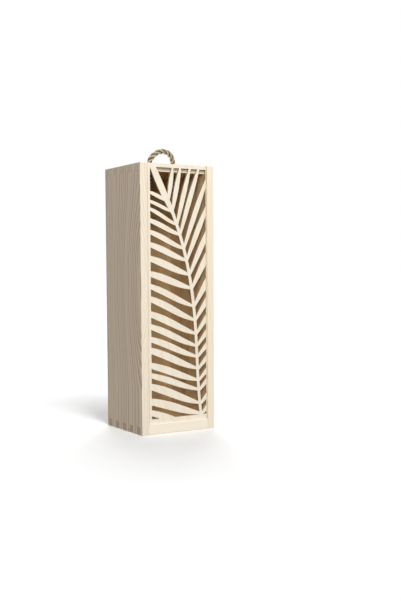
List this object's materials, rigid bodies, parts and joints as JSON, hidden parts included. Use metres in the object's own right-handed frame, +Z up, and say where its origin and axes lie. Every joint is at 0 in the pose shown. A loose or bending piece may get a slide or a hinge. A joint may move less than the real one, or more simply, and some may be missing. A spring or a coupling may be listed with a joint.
{
  "type": "wooden wine box",
  "caption": "Upright pine box for one bottle, with finger joints, a nailed plywood back, a sliding fretwork lid cut as a palm frond and a twisted rope handle",
  "frame": {"origin": "middle of the underside, where the box stands", "axes": "+Z up along the box's height, the sliding lid faces -Y, the back panel faces +Y, +X is to the right as seen from the front"},
  "size_m": [0.11, 0.1, 0.374],
  "materials": {
    "pine_sides": "planed, unfinished",
    "pine_ends": "planed, unfinished",
    "pine_sill": "planed, unfinished",
    "plywood_lid": "sanded, unfinished",
    "plywood_back": "sanded, unfinished",
    "jute_rope": "twisted, hairy",
    "nail_steel": "bright"
  },
  "bodies": {
    "case": {"left_side": "pine_sides", "right_side": "pine_sides", "top_board": "pine_ends", "bottom_board": "pine_ends", "front_sill": "pine_sill", "back_panel": "plywood_back", "back_nails": "nail_steel", "rope_end_left": "jute_rope", "rope_end_right": "jute_rope"},
    "lid": {"lid": "plywood_lid"},
    "handle": {"rope_handle": "jute_rope"}
  },
  "joints": [
    {"name": "lid_slide", "type": "slide", "parent": "case", "child": "lid", "axis": [0, 0, 1], "range_m": [0, 0.345]},
    {"name": "handle_tilt", "type": "hinge", "parent": "case", "child": "handle", "pos_m": [0, -0.006, 0.3538], "axis": [1, 0, 0], "range_deg": [-100, 58], "stiffness_Nm_per_rad": 0.02}
  ]
}
